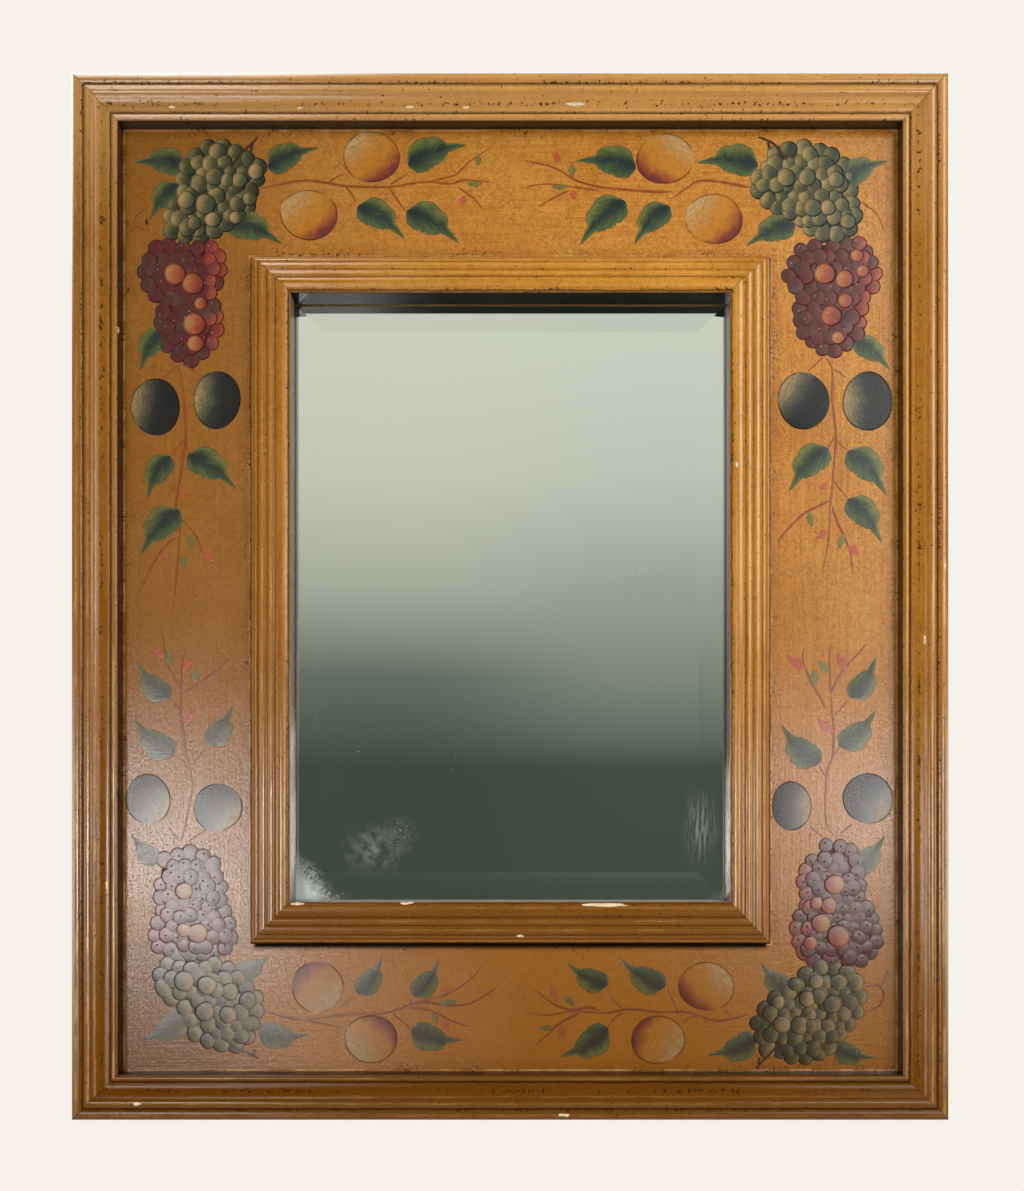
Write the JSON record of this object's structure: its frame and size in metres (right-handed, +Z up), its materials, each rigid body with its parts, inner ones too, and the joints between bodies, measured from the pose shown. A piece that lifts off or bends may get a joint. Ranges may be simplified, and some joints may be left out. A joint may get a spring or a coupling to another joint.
{
  "type": "wall mirror",
  "caption": "Rectangular wall mirror: bevelled glass in a reeded inner moulding, a flat painted fruit-and-vine frieze and a mitred outer moulding, hung by swinging ring hangers.",
  "frame": {"origin": "middle of the frame on the wall plane, where the back edges of the outer moulding touch the wall", "axes": "+X to the viewer's right, +Y into the wall, +Z up; the mirror faces -Y"},
  "size_m": [0.5058, 0.0332, 0.6038],
  "materials": {
    "outer_moulding_paint": "ochre glaze over gesso, brown in the grooves, satin varnish",
    "inner_moulding_paint": "ochre glaze over gesso, brown in the grooves, satin varnish",
    "frieze_paint": "golden ochre glaze with painted ornament, satin varnish",
    "mirror": "silvered plate glass, bevelled",
    "liner": "grey paperboard",
    "backing": "plain hardboard",
    "dowel_wood": "plain beech",
    "screw_steel": "dull plated steel",
    "nail_steel": "plain steel",
    "hanger_steel": "brassed steel"
  },
  "bodies": {
    "frame": {"outer_moulding_top": "outer_moulding_paint", "outer_moulding_right": "outer_moulding_paint", "outer_moulding_bottom": "outer_moulding_paint", "outer_moulding_left": "outer_moulding_paint", "inner_moulding_top": "inner_moulding_paint", "inner_moulding_right": "inner_moulding_paint", "inner_moulding_bottom": "inner_moulding_paint", "inner_moulding_left": "inner_moulding_paint", "frieze_top_rail": "frieze_paint", "frieze_bottom_rail": "frieze_paint", "frieze_left_stile": "frieze_paint", "frieze_right_stile": "frieze_paint", "mirror_glass": "mirror", "liner_sheet": "liner", "backing_board": "backing", "backing_screws": "screw_steel", "inner_moulding_screws": "screw_steel", "frieze_screws": "screw_steel", "hanger_screws": "screw_steel", "frieze_dowels": "dowel_wood", "outer_corner_nails": "nail_steel", "inner_corner_nails": "nail_steel", "left_hanger_strap": "hanger_steel", "right_hanger_strap": "hanger_steel"},
    "left_ring": {"left_hanger_ring": "hanger_steel"},
    "right_ring": {"right_hanger_ring": "hanger_steel"}
  },
  "joints": [
    {"name": "left_ring_swing", "type": "hinge", "parent": "frame", "child": "left_ring", "pos_m": [-0.19915, -0.00595, 0.15], "axis": [1, 0, 0], "range_deg": [0, 170]},
    {"name": "right_ring_swing", "type": "hinge", "parent": "frame", "child": "right_ring", "pos_m": [0.19915, -0.00595, 0.15], "axis": [1, 0, 0], "range_deg": [0, 170]}
  ]
}
